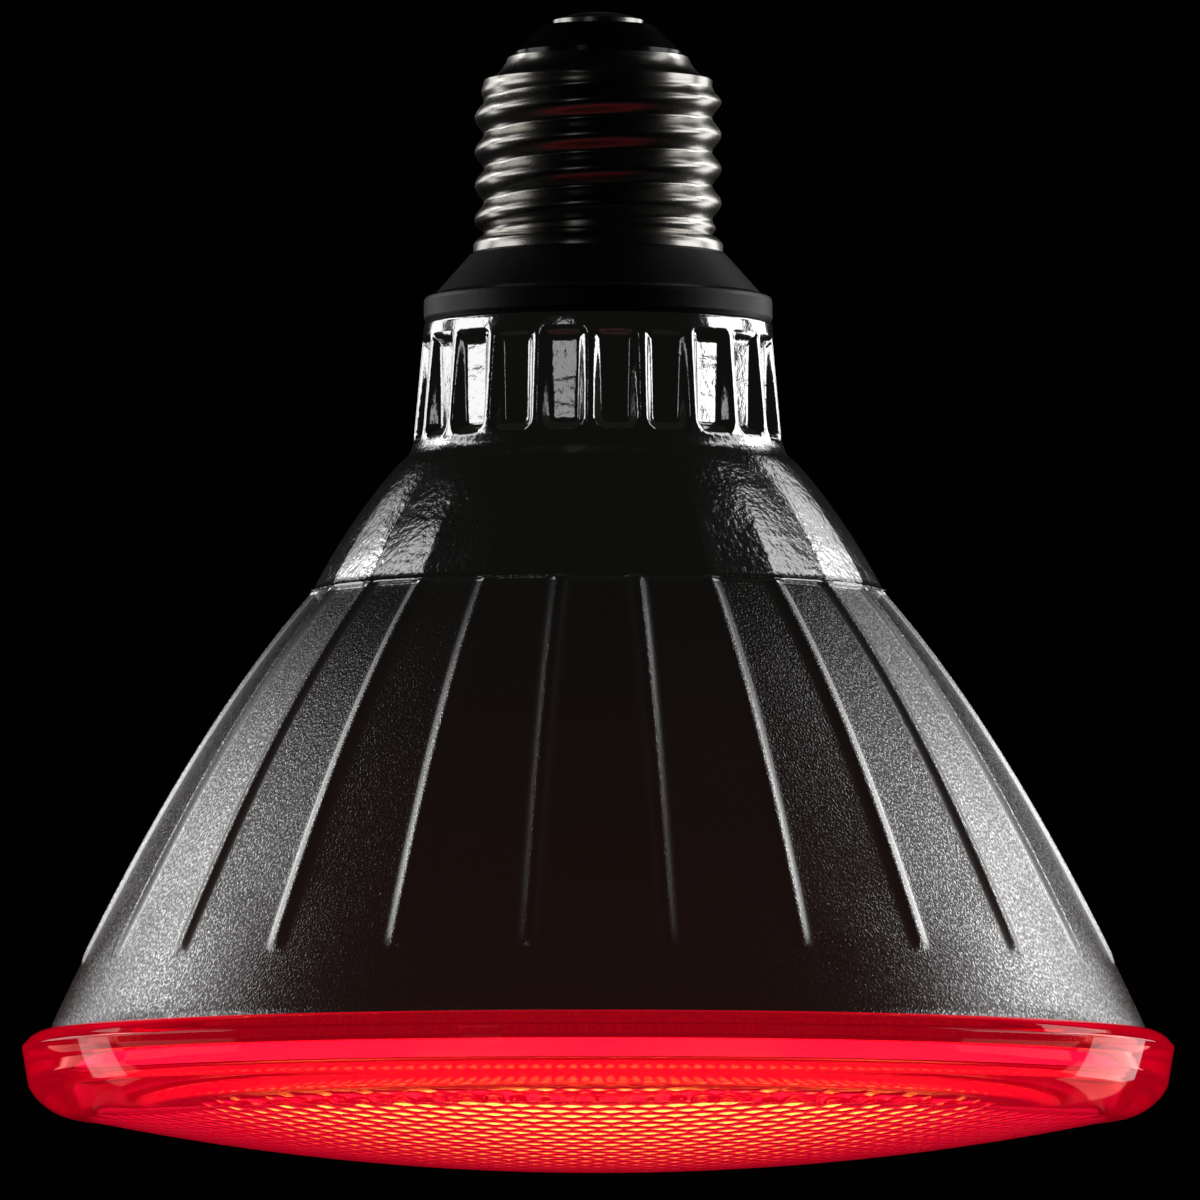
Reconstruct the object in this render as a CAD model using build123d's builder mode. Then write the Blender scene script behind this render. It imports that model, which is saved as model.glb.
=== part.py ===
from build123d import *
import os
from math import asin, degrees, pi, sqrt

# LED reflector lamp: a pressed glass reflector with a red moulded lens, an LED module in its neck,
# a mains driver above that and an E27 screw cap on top.
# Millimetres, +Z up, lens facing down. The origin is on the lamp axis, in the plane of the
# screw shell's lower rim.

# Fits shared by several pieces
slip_gap = 0.15          # sliding fit between moulded and turned pieces
seat_gap = 0.3           # end play of a piece that is trapped between two others
wire_radius = 0.6        # insulated wire
wire_hole_gap = 0.3      # room round a wire in its hole

# Pressed glass reflector
neck_length = 13.1
neck_top_radius = 18.5
neck_base_radius = 19.6
neck_bore_radius = 15.5
neck_fillet = 1.0
shoulder_height = 15.6
shoulder_bulge = 0.45    # height of the shoulder's arc over its chord
ledge_radius = 30.05     # ribbed surface just below the shoulder
ledge_step = 0.55        # the shoulder's lower edge stands this far outside the ribbed surface
reflector_depth = 46.3   # from the shoulder's ledge to the mouth land
mouth_radius = 58.05
mouth_land = 2.4         # straight band that goes into the lens socket
mouth_wall = 2.4
ledge_wall = 4.7         # level thickness of the glass at the ledge

# Ribs of the reflector
rib_count = 24
rib_width = 2.8
rib_height = 0.45
rib_bite = 0.3           # the rib's section starts this far inside the glass
rib_drop = 40.4          # height from the ledge to the rib's foot
rib_fade = 2.5           # length over which the foot sinks into the glass

# Pockets round the neck
pocket_count = 21
pocket_floor_radius = 17.9
pocket_land = 1.3        # wall left between two pockets
pocket_height = 10.1
pocket_corner_radius = 1.2
pocket_rise = 1.1        # from the neck's base to the pocket's lower edge
pocket_turn = 1.5        # angle of the first pocket from the +X axis

# Red lens
lens_rim_wall = 2.65     # from the socket to the widest point of the rim
lens_wall = 2.6
lens_dome_radius = 270.0
lens_corner_run = 5.8    # rounded corner between the dome and the rim
lens_corner_rise = 3.4
lens_inner_setback = 0.2 # the inner dome ends this far inside the outer one
lens_inner_land = 1.0    # straight inner wall below the seat
lens_rim_height = 4.3
lens_rim_draft = 0.7
lens_bevel_height = 1.6
lens_bevel_bulge = 0.3
lens_lip_setback = 0.1   # lip ends this far below the top of the glass land
socket_gap = 0.3         # between the glass land and the lens socket
seat_width = 1.4
seal_thickness = 0.4

# Driver housing
collar_height = 7.5
collar_flange = 3.0
collar_margin = 1.0      # the cone's foot lies this far inside the flange
cap_margin = 0.4         # the cone's top stands this far outside the screw shell
flange_edge = 0.4        # bevel of the flange
housing_wall = 1.6
tube_length = 16.0
glue_gap = 0.6           # between the housing tube and the neck bore
glue_skin = 0.05
glue_height = 8.0
cap_floor = 3.5          # thickness of the housing above its wide bore

# Screw cap
thread_radius = 13.1
thread_depth = 1.0
shell_rim_margin = 0.15  # the rim band stands this far outside the thread
thread_pitch = 3.629
thread_crest = 0.9
thread_root_gap = 0.7    # plain strip left between two turns
thread_bite = 0.15       # the ridge starts this far inside the shell's wall
shell_sheet = 0.35
shell_band = 2.0         # plain band at the rim
shell_height = 18.5      # straight part
shell_runout = 2.5       # height over which the thread fades at the top
shell_shoulder = 2.5
shell_lip_radius = 9.0
insulator_rim = 0.4
insulator_collar = 0.5   # straight part that passes the shell's lip
insulator_height = 2.8   # cone above the shell
insulator_top_radius = 6.0
contact_radius = 4.8
contact_disc = 0.6
contact_dome = 0.9
contact_stem_radius = 1.25
contact_stem_drop = 0.8  # stem below the insulator

# LED module
sink_flange = 3.5
sink_plug_height = 4.0
sink_wall = 4.2          # wall of the plug, which takes the screws
pad_thickness = 0.4
led_board_margin = 0.6   # the board ends this far inside the heat sink's edge
led_board_thickness = 1.6
led_size = 3.0
led_height = 0.75
led_window = 2.2
led_window_depth = 0.12
led_corner = 0.2
led_outer_count = 8
led_outer_margin = 4.3   # from the board's edge to the outer ring of LEDs
led_inner_count = 4
led_inner_radius = 4.2
screw_count = 2
screw_inset = 1.6        # screw centres, inside the plug's edge
screw_radius = 0.95
screw_length = 5.0
screw_head_radius = 1.9
screw_head_height = 1.4
screw_cross = 2.0
screw_cross_width = 0.45
screw_cross_depth = 0.7
solder_radius = 1.5
solder_tip_radius = 0.8
solder_height = 0.7
solder_gap = 0.6         # between the solder and the outer ring of LEDs

# Driver board and what it carries
board_thickness = 1.6
tongue_height = 15.5     # narrow part of the board, in the spigot
rail_depth = 1.6
rail_width = 1.2
led_lead_lap = 2.4       # length of the LED leads along the board's face
core_width = 12.0
core_height = 10.0
core_depth = 5.2
core_leg = 3.0
core_back = 2.0
core_rise = 4.4          # from the board's lower edge
winding_gap = 0.3
winding_overhang = 1.7
can_radius = 3.15
can_height = 12.0
can_groove = 0.3
can_groove_width = 0.8
can_groove_drop = 2.0
can_edge = 0.5
can_rise = 1.2           # from the top of the board's wide part
film_width = 7.2
film_height = 8.0
film_depth = 4.6
film_edge = 0.8
film_offset = 4.9
film_rise = 5.4
choke_radius = 3.2
choke_waist_radius = 2.4
choke_height = 6.0
choke_flange = 0.9
choke_offset = 4.9
choke_rise = 9.4
package_width = 3.9
package_height = 4.9
package_depth = 1.6
package_edge = 0.3
package_offset = 3.7
package_rise = 3.4
pin_width = 0.45
pin_length = 0.9
pin_thickness = 0.3
chip_pin_pitch = 1.0
chip_pins = 4
bridge_pin_pitch = 2.5
bridge_pins = 2
fuse_radius = 1.2
fuse_cap_radius = 1.35
fuse_length = 6.8
fuse_cap_length = 1.3
fuse_offset = 5.3
fuse_rise = 1.6
neutral_exit_rise = 9.5  # hole in the spigot, above the board's wide part

# Levels, from the cap downwards
neck_top = -collar_height
neck_base = neck_top - neck_length
ledge_level = neck_base - shoulder_height
land_level = ledge_level - reflector_depth
mouth_level = land_level - mouth_land
seat_level = mouth_level - seal_thickness
lip_level = land_level - lens_lip_setback
rim_level = lip_level - lens_bevel_height
foot_level = rim_level - lens_rim_height
dome_level = foot_level - lens_corner_rise
tube_end = neck_top - tube_length
sink_face = tube_end - sink_flange
board_face = sink_face - pad_thickness
led_face = board_face - led_board_thickness

os.makedirs("parts", exist_ok=True)


def write(piece, name):
    """Label a finished piece and write it as its own STEP file."""
    piece.part.label = name
    export_step(piece.part, f"parts/{name}.step")


def parabola_control(start, end, growth):
    """Middle control point of the parabola r * r = growth * (apex - z) between two (r, z) points."""
    apex = start[1] + start[0] ** 2 / growth
    return ((start[0] + end[0]) / 2, apex - start[0] * end[0] / growth)


# Pressed glass reflector: outside and mirror are both parabolas, so r squared grows evenly with depth
mirror_mouth = (mouth_radius - mouth_wall, mouth_level)
mirror_ledge = (ledge_radius - ledge_wall, ledge_level)
outer_growth = (mouth_radius**2 - ledge_radius**2) / reflector_depth
mirror_growth = (mirror_mouth[0] ** 2 - mirror_ledge[0] ** 2) / (ledge_level - mouth_level)
throat_level = mouth_level + (mirror_mouth[0] ** 2 - neck_bore_radius**2) / mirror_growth
ledge_point = (ledge_radius, ledge_level)
land_point = (mouth_radius, land_level)
throat_point = (neck_bore_radius, throat_level)

rib_radius = (rib_width**2 / 4 + rib_height**2) / (2 * rib_height)
fade_radius = rib_fade**2 / (2 * (rib_height + rib_bite))


def skirt_point(drop):
    """Point (r, z) of the ribbed surface at a height below the ledge."""
    return (sqrt(ledge_radius**2 + outer_growth * drop), ledge_level - drop)


rib_start = skirt_point(-rib_width)
rib_end = skirt_point(rib_drop - rib_fade)

pocket_middle = neck_base + pocket_rise + pocket_height / 2
pocket_width = 2 * pi * neck_base_radius / pocket_count - pocket_land
pocket_plane = Plane(origin=(pocket_floor_radius, 0, pocket_middle), x_dir=(0, 1, 0), z_dir=(1, 0, 0))

with BuildPart() as glass_body:
    with BuildSketch(Plane.XZ):
        with BuildLine():
            Line((neck_bore_radius, neck_top), (neck_top_radius, neck_top))
            Line((neck_top_radius, neck_top), (neck_base_radius, neck_base))
            SagittaArc(
                (neck_base_radius, neck_base),
                (ledge_radius + ledge_step, ledge_level),
                shoulder_bulge,
            )
            Line((ledge_radius + ledge_step, ledge_level), ledge_point)
            Bezier(ledge_point, parabola_control(ledge_point, land_point, outer_growth), land_point)
            Line(land_point, (mouth_radius, mouth_level))
            Line((mouth_radius, mouth_level), mirror_mouth)
            Bezier(mirror_mouth, parabola_control(mirror_mouth, throat_point, mirror_growth), throat_point)
            Line(throat_point, (neck_bore_radius, neck_top))
        make_face()
    revolve(axis=Axis.Z)
    neck_foot = glass_body.edges().filter_by(GeomType.CIRCLE).sort_by(
        lambda edge: abs(edge.radius - neck_base_radius) + abs(edge.center().Z - neck_base)
    )[0]
    fillet(neck_foot, neck_fillet)

    with BuildLine(Plane.XZ) as rib_path:
        flank = Bezier(rib_start, parabola_control(rib_start, rib_end, outer_growth), rib_end)
        JernArc(flank @ 1, flank % 1, fade_radius, -degrees(rib_fade / fade_radius))
    rib_plane = Plane(origin=flank @ 0, x_dir=(0, 1, 0), z_dir=flank % 0)
    with BuildSketch(rib_plane) as rib_section:
        with Locations((0, rib_height - rib_radius)):
            Circle(rib_radius)
        with Locations((0, -rib_bite)):
            Rectangle(
                rib_radius + rib_width,
                rib_height + 2 * rib_bite,
                align=(Align.CENTER, Align.MIN),
                mode=Mode.INTERSECT,
            )
    rib = sweep(rib_section.sketch, path=rib_path.line, mode=Mode.PRIVATE)
    with PolarLocations(0, rib_count, start_angle=180 / rib_count):
        add(rib)

    with BuildSketch(pocket_plane) as pocket_outline:
        Rectangle(pocket_width, pocket_height)
        fillet(pocket_outline.vertices().group_by(Axis.Y)[0], pocket_corner_radius)
    pocket = extrude(pocket_outline.sketch, amount=neck_base_radius, mode=Mode.PRIVATE)
    with PolarLocations(0, pocket_count, start_angle=pocket_turn):
        add(pocket, mode=Mode.SUBTRACT)
write(glass_body, "glass_body")

# Red lens: domed face, rounded corner, rim wall and a bevelled lip that hugs the glass land
socket_radius = mouth_radius + socket_gap
inner_radius = socket_radius - seat_width
lens_radius = socket_radius + lens_rim_wall
foot_radius = lens_radius - lens_rim_draft
lens_face_radius = foot_radius - lens_corner_run
dome_centre = dome_level + sqrt(lens_dome_radius**2 - lens_face_radius**2)
lens_vertex = dome_centre - lens_dome_radius
inner_dome_radius = lens_dome_radius - lens_wall
inner_face_radius = lens_face_radius - lens_inner_setback
inner_face_level = dome_centre - sqrt(inner_dome_radius**2 - inner_face_radius**2)

with BuildPart() as front_lens:
    with BuildSketch(Plane.XZ):
        with BuildLine():
            dome = RadiusArc((0, lens_vertex), (lens_face_radius, dome_level), -lens_dome_radius)
            TangentArc((lens_face_radius, dome_level), (foot_radius, foot_level), tangent=dome % 1)
            Line((foot_radius, foot_level), (lens_radius, rim_level))
            SagittaArc((lens_radius, rim_level), (socket_radius, lip_level), -lens_bevel_bulge)
            Line((socket_radius, lip_level), (socket_radius, seat_level))
            Line((socket_radius, seat_level), (inner_radius, seat_level))
            Line((inner_radius, seat_level), (inner_radius, seat_level - lens_inner_land))
            inner_dome = RadiusArc(
                (0, lens_vertex + lens_wall),
                (inner_face_radius, inner_face_level),
                -inner_dome_radius,
            )
            TangentArc(
                (inner_face_radius, inner_face_level),
                (inner_radius, seat_level - lens_inner_land),
                tangent=inner_dome % 1,
            )
            Line((0, lens_vertex), (0, lens_vertex + lens_wall))
        make_face()
    revolve(axis=Axis.Z)
write(front_lens, "front_lens")

# Silicone bead that bonds the glass edge to the seat in the lens
with BuildPart() as lens_seal:
    with BuildSketch(Plane.XY.offset(seat_level)):
        Circle(mouth_radius)
        Circle(inner_radius, mode=Mode.SUBTRACT)
    extrude(amount=seal_thickness)
write(lens_seal, "lens_seal")

# Driver housing: tube in the glass neck, collar that closes the neck, spigot for the screw shell
shell_core_radius = thread_radius - thread_depth
shell_bore = shell_core_radius - shell_sheet
shell_top = shell_height + shell_shoulder
lip_inside = shell_top - shell_sheet
shoulder_slope = (shell_bore - shell_lip_radius) / (lip_inside - shell_height)
insulator_edge = shell_height + slip_gap / shoulder_slope - seat_gap
insulator_base = insulator_edge - insulator_rim
spigot_radius = shell_bore - slip_gap
spigot_top = insulator_base - seat_gap
spigot_bore = spigot_radius - housing_wall
tube_radius = neck_bore_radius - glue_gap
tube_bore = tube_radius - housing_wall
cone_foot_radius = neck_top_radius - collar_margin
cone_top_radius = thread_radius + cap_margin
flange_top = neck_top + collar_flange

board_bottom = tube_end + sink_plug_height + seat_gap
board_shoulder = -cap_floor - seat_gap
board_half = board_thickness / 2
board_width = 2 * sqrt((tube_bore - slip_gap) ** 2 - board_half**2)
tongue_width = 2 * sqrt((spigot_bore - slip_gap) ** 2 - board_half**2)
tongue_top = board_shoulder + tongue_height
rail_reach = tube_bore - rail_depth / 2
rail_offset = board_half + slip_gap + rail_width / 2
rail_length = -cap_floor - board_bottom
neutral_exit = board_shoulder + neutral_exit_rise
wire_hole_radius = wire_radius + wire_hole_gap

with BuildPart() as driver_housing:
    with BuildSketch(Plane.XZ):
        with BuildLine():
            Polyline(
                (spigot_bore, -cap_floor),
                (spigot_bore, spigot_top),
                (spigot_radius, spigot_top),
                (spigot_radius, 0),
                (cone_top_radius, 0),
                (cone_foot_radius, flange_top),
                (neck_top_radius, flange_top),
                (neck_top_radius, neck_top),
                (tube_radius, neck_top),
                (tube_radius, tube_end),
                (tube_bore, tube_end),
                (tube_bore, -cap_floor),
                close=True,
            )
        make_face()
    revolve(axis=Axis.Z)
    flange_rim = driver_housing.edges().filter_by(GeomType.CIRCLE).filter_by(
        lambda edge: abs(edge.radius - neck_top_radius) < edge.radius * 1e-6
    )
    chamfer(flange_rim, flange_edge)
    with Locations((0, 0, board_bottom + rail_length / 2)):
        with GridLocations(2 * rail_reach, 2 * rail_offset, 2, 2):
            Box(rail_depth, rail_width, rail_length)
    with BuildSketch(Plane.YZ):
        with Locations((0, neutral_exit)):
            Circle(wire_hole_radius)
    extrude(amount=spigot_radius, mode=Mode.SUBTRACT)
write(driver_housing, "driver_housing")

# Silicone between the housing tube and the neck bore
with BuildPart() as neck_seal:
    with BuildSketch(Plane.XY.offset(neck_top)):
        Circle(neck_bore_radius - glue_skin)
        Circle(tube_radius + glue_skin, mode=Mode.SUBTRACT)
    extrude(amount=-glue_height)
write(neck_seal, "neck_seal")

# Screw shell: one helical ridge on a thin core, faded out towards the shoulder
ridge_base = thread_pitch - thread_root_gap
ridge_start = shell_band - ridge_base / 2
ridge_rise = shell_height - ridge_start
ridge_root = shell_core_radius - 2 * thread_bite
rim_radius = thread_radius + shell_rim_margin
crest_end = shell_height - shell_runout

with BuildPart() as screw_shell:
    with BuildLine() as ridge_path:
        Helix(thread_pitch, ridge_rise, shell_core_radius, center=(0, 0, ridge_start))
    ridge_plane = Plane(origin=ridge_path.line @ 0, x_dir=(1, 0, 0), z_dir=ridge_path.line % 0)
    with BuildSketch(ridge_plane):
        Polygon(
            (-thread_bite, -ridge_base / 2),
            (0, -ridge_base / 2),
            (thread_depth, -thread_crest / 2),
            (thread_depth, thread_crest / 2),
            (0, ridge_base / 2),
            (-thread_bite, ridge_base / 2),
            align=None,
        )
    sweep(path=ridge_path.line, is_frenet=True)
    with BuildSketch(Plane.XZ):
        Polygon(
            (ridge_root, 0),
            (rim_radius, 0),
            (rim_radius, crest_end),
            (ridge_root, shell_height),
            align=None,
        )
    revolve(axis=Axis.Z, mode=Mode.INTERSECT)
    with BuildSketch(Plane.XZ):
        Polygon(
            (shell_bore, 0),
            (rim_radius, 0),
            (rim_radius, shell_band),
            (shell_core_radius, shell_band),
            (shell_core_radius, shell_height),
            (shell_lip_radius + shell_sheet, shell_top),
            (shell_lip_radius, shell_top),
            (shell_lip_radius, lip_inside),
            (shell_bore, shell_height),
            align=None,
        )
    revolve(axis=Axis.Z)
write(screw_shell, "screw_shell")

# Black insulator, trapped under the shell's shoulder and standing through its lip
insulator_radius = shell_bore - slip_gap
insulator_neck = shell_lip_radius - slip_gap
insulator_shoulder = insulator_edge + (insulator_radius - insulator_neck) / shoulder_slope
contact_seat = shell_top + insulator_collar + insulator_height
stem_bore = contact_stem_radius + slip_gap

with BuildPart() as cap_insulator:
    with BuildSketch(Plane.XZ):
        with BuildLine():
            Polyline(
                (stem_bore, insulator_base),
                (insulator_radius, insulator_base),
                (insulator_radius, insulator_edge),
                (insulator_neck, insulator_shoulder),
                (insulator_neck, shell_top + insulator_collar),
                (insulator_top_radius, contact_seat),
                (stem_bore, contact_seat),
                close=True,
            )
        make_face()
    revolve(axis=Axis.Z)
write(cap_insulator, "cap_insulator")

# Centre contact: domed disc on a stem through the insulator
stem_end = insulator_base - contact_stem_drop
with BuildPart() as centre_contact:
    with BuildSketch(Plane.XZ):
        with BuildLine():
            Polyline(
                (0, contact_seat + contact_disc + contact_dome),
                (0, stem_end),
                (contact_stem_radius, stem_end),
                (contact_stem_radius, contact_seat),
                (contact_radius, contact_seat),
                (contact_radius, contact_seat + contact_disc),
            )
            TangentArc(
                (0, contact_seat + contact_disc + contact_dome),
                (contact_radius, contact_seat + contact_disc),
                tangent=(1, 0),
            )
        make_face()
    revolve(axis=Axis.Z)
write(centre_contact, "centre_contact")

# Heat sink: turned plug that closes the housing tube and carries the LED board
plug_radius = tube_bore - slip_gap
screw_hole_radius = screw_radius + slip_gap
screw_hole_top = led_face + screw_length + seat_gap
sink_bore_radius = plug_radius - sink_wall
screw_circle_radius = plug_radius - screw_inset
led_board_radius = tube_radius - led_board_margin
led_outer_radius = led_board_radius - led_outer_margin
lead_circle_radius = led_outer_radius - led_size / 2 - solder_gap - solder_radius
lead_offset = board_half + wire_radius
lead_angle = 180 - degrees(asin(lead_offset / lead_circle_radius))

with BuildPart() as heat_sink:
    with BuildSketch(Plane.XY.offset(sink_face)):
        Circle(tube_radius)
    extrude(amount=sink_flange)
    with BuildSketch(Plane.XY.offset(tube_end)):
        Circle(plug_radius)
        Circle(sink_bore_radius, mode=Mode.SUBTRACT)
    extrude(amount=sink_plug_height)
    with BuildSketch(Plane.XY.offset(sink_face)):
        with PolarLocations(screw_circle_radius, screw_count):
            Circle(screw_hole_radius)
    extrude(amount=screw_hole_top - sink_face, mode=Mode.SUBTRACT)
    with BuildSketch(Plane.XY.offset(sink_face)):
        with PolarLocations(lead_circle_radius, 2, start_angle=lead_angle):
            Circle(wire_hole_radius)
    extrude(amount=sink_flange, mode=Mode.SUBTRACT)
write(heat_sink, "heat_sink")


def disc_with_holes(radius, level, thickness):
    """Round plate under the heat sink with the screw and lead holes of the LED module."""
    with BuildPart() as plate:
        with BuildSketch(Plane.XY.offset(level)):
            Circle(radius)
            with PolarLocations(screw_circle_radius, screw_count):
                Circle(screw_hole_radius, mode=Mode.SUBTRACT)
            with PolarLocations(lead_circle_radius, 2, start_angle=lead_angle):
                Circle(wire_hole_radius, mode=Mode.SUBTRACT)
        extrude(amount=thickness)
    return plate


# Thermal pad and the metal-core LED board under it
write(disc_with_holes(led_board_radius, board_face, pad_thickness), "thermal_pad")
write(disc_with_holes(led_board_radius, led_face, led_board_thickness), "led_board")

# LED packages in two rings, each with a sunk phosphor window facing down
with BuildPart() as led_package:
    Box(led_size, led_size, led_height, align=(Align.CENTER, Align.CENTER, Align.MAX))
    chamfer(led_package.edges().filter_by(Axis.Z), led_corner)
    with BuildSketch(Plane.XY.offset(-led_height)):
        Rectangle(led_window, led_window)
    extrude(amount=led_window_depth, mode=Mode.SUBTRACT)

with BuildPart() as led_packages:
    with Locations((0, 0, led_face)):
        with PolarLocations(led_outer_radius, led_outer_count, start_angle=180 / led_outer_count):
            add(led_package.part)
        with PolarLocations(led_inner_radius, led_inner_count, start_angle=180 / led_inner_count):
            add(led_package.part)
write(led_packages, "led_packages")

# Pan-head screws that clamp the LED board to the heat sink
with BuildPart() as board_screw:
    with BuildSketch(Plane.XY):
        Circle(screw_radius)
    extrude(amount=screw_length)
    with BuildSketch(Plane.XY):
        Circle(screw_head_radius)
    extrude(amount=-screw_head_height)
    chamfer(board_screw.faces().sort_by(Axis.Z)[0].edges(), screw_head_height / 2)
    with BuildSketch(Plane.XY.offset(-screw_head_height)):
        Rectangle(screw_cross, screw_cross_width)
        Rectangle(screw_cross_width, screw_cross)
    extrude(amount=screw_cross_depth, mode=Mode.SUBTRACT)

with BuildPart() as board_screws:
    with Locations((0, 0, led_face)):
        with PolarLocations(screw_circle_radius, screw_count):
            add(board_screw.part)
write(board_screws, "board_screws")

# Driver board: wide in the tube, a tongue in the spigot
with BuildPart() as driver_board:
    with BuildSketch(Plane.XZ.offset(-board_half)):
        with Locations((0, (board_bottom + board_shoulder) / 2)):
            Rectangle(board_width, board_shoulder - board_bottom)
        with Locations((0, (board_bottom + tongue_top) / 2)):
            Rectangle(tongue_width, tongue_top - board_bottom)
    extrude(amount=board_thickness)
write(driver_board, "driver_board")


# Leads along the driver board's faces, through the heat sink to the LED board
lead_length = board_bottom + led_lead_lap - led_face
for name, side in (("led_lead_positive", 0), ("led_lead_negative", 1)):
    with BuildPart() as led_lead:
        with BuildSketch(Plane.XY.offset(led_face)):
            with PolarLocations(lead_circle_radius, 1, start_angle=lead_angle + 180 * side):
                Circle(wire_radius)
        extrude(amount=lead_length)
    write(led_lead, name)

# Solder cones that close the lead holes on the LED board's face
with BuildPart() as lead_solder:
    with Locations((0, 0, led_face)):
        with PolarLocations(lead_circle_radius, 2, start_angle=lead_angle):
            Cone(
                solder_tip_radius,
                solder_radius,
                solder_height,
                align=(Align.CENTER, Align.CENTER, Align.MAX),
            )
write(lead_solder, "lead_solder")

# Live lead from the tongue's top edge to the contact's stem
with BuildPart() as live_lead:
    with BuildSketch(Plane.XY.offset(tongue_top)):
        Circle(wire_radius)
    extrude(amount=stem_end - tongue_top)
write(live_lead, "live_lead")

# Neutral lead from the tongue's side edge through the spigot to the screw shell
with BuildPart() as neutral_lead:
    with BuildSketch(Plane.YZ.offset(tongue_width / 2)):
        with Locations((0, neutral_exit)):
            Circle(wire_radius)
    extrude(amount=shell_bore - slip_gap - tongue_width / 2)
write(neutral_lead, "neutral_lead")

# Transformer: winding that stands on the board and the ferrite core through it
window_width = (core_width - core_leg - 2 * core_back) / 2
window_height = core_height - 2 * core_back
window_offset = (core_leg + window_width) / 2
core_middle = (
    0,
    board_half + winding_overhang + core_depth / 2,
    board_bottom + core_rise + core_height / 2,
)
winding_width = core_leg + 2 * window_width - 2 * winding_gap
winding_height = window_height - 2 * winding_gap
winding_depth = core_depth + 2 * winding_overhang

with BuildPart() as transformer_core:
    with Locations(core_middle):
        Box(core_width, core_depth, core_height)
        with GridLocations(2 * window_offset, 0, 2, 1):
            Box(window_width, core_depth, window_height, mode=Mode.SUBTRACT)
write(transformer_core, "transformer_core")

with BuildPart() as transformer_winding:
    with Locations(core_middle):
        Box(winding_width, winding_depth, winding_height)
    fillet(transformer_winding.edges().filter_by(Axis.Z), winding_overhang / 2)
    with Locations(core_middle):
        Box(core_leg + winding_gap, core_depth + winding_gap, winding_height, mode=Mode.SUBTRACT)
write(transformer_winding, "transformer_winding")

# Reservoir capacitor: crimped aluminium can that lies along the tongue
can_base = board_shoulder + can_rise
can_crimp = can_base + can_groove_drop
with BuildPart() as reservoir_capacitor:
    with BuildSketch(Plane.XZ.offset(-(board_half + can_radius + slip_gap))):
        with BuildLine():
            Polyline(
                (0, can_base + can_height),
                (0, can_base),
                (can_radius, can_base),
                (can_radius, can_crimp - can_groove_width / 2),
                (can_radius - can_groove, can_crimp),
                (can_radius, can_crimp + can_groove_width / 2),
                (can_radius, can_base + can_height),
                close=True,
            )
        make_face()
    can_axis = Axis((0, board_half + can_radius + slip_gap, 0), (0, 0, 1))
    revolve(axis=can_axis)
    chamfer(reservoir_capacitor.faces().sort_by(Axis.Z)[-1].edges(), can_edge)
write(reservoir_capacitor, "reservoir_capacitor")

# Film capacitor and drum choke on the other face of the board
with BuildPart() as film_capacitor:
    with Locations((-film_offset, -board_half, board_bottom + film_rise)):
        Box(film_width, film_depth, film_height, align=(Align.CENTER, Align.MAX, Align.MIN))
    fillet(film_capacitor.faces().sort_by(Axis.Y)[0].edges(), film_edge)
write(film_capacitor, "film_capacitor")

with BuildPart() as choke:
    with BuildSketch(Plane.XZ.offset(board_half)):
        with Locations((choke_offset, board_bottom + choke_rise)):
            Circle(choke_radius)
    extrude(amount=choke_flange)
    with BuildSketch(Plane.XZ.offset(board_half + choke_flange)):
        with Locations((choke_offset, board_bottom + choke_rise)):
            Circle(choke_waist_radius)
    extrude(amount=choke_height - 2 * choke_flange)
    with BuildSketch(Plane.XZ.offset(board_half + choke_height - choke_flange)):
        with Locations((choke_offset, board_bottom + choke_rise)):
            Circle(choke_radius)
    extrude(amount=choke_flange)
write(choke, "choke")


def surface_package(offset, pins, pitch):
    """Moulded package on the board's back face with a row of flat pins above and below."""
    middle = board_shoulder + package_rise + package_height / 2
    with BuildPart() as package:
        with Locations((offset, -board_half, middle)):
            Box(package_width, package_depth, package_height, align=(Align.CENTER, Align.MAX, Align.CENTER))
        chamfer(package.faces().sort_by(Axis.Y)[0].edges(), package_edge)
        with Locations((offset, -board_half, middle)):
            with GridLocations(pitch, 0, pins, 1):
                Box(
                    pin_width,
                    pin_thickness,
                    package_height + 2 * pin_length,
                    align=(Align.CENTER, Align.MAX, Align.CENTER),
                )
    return package


# Control chip and bridge rectifier
write(surface_package(package_offset, chip_pins, chip_pin_pitch), "control_chip")
write(surface_package(-package_offset, bridge_pins, bridge_pin_pitch), "bridge_rectifier")

# Fuse resistor beside the capacitor
fuse_base = board_shoulder + fuse_rise
with BuildPart() as fuse_resistor:
    with Locations((fuse_offset, board_half + fuse_cap_radius + slip_gap, fuse_base)):
        Cylinder(fuse_radius, fuse_length, align=(Align.CENTER, Align.CENTER, Align.MIN))
        Cylinder(fuse_cap_radius, fuse_cap_length, align=(Align.CENTER, Align.CENTER, Align.MIN))
    with Locations((fuse_offset, board_half + fuse_cap_radius + slip_gap, fuse_base + fuse_length)):
        Cylinder(fuse_cap_radius, fuse_cap_length, align=(Align.CENTER, Align.CENTER, Align.MAX))
write(fuse_resistor, "fuse_resistor")
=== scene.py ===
from math import atan2, cos, hypot, pi, radians, sin, sqrt, tan

import bmesh
import bpy
from mathutils import Matrix, Vector


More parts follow.
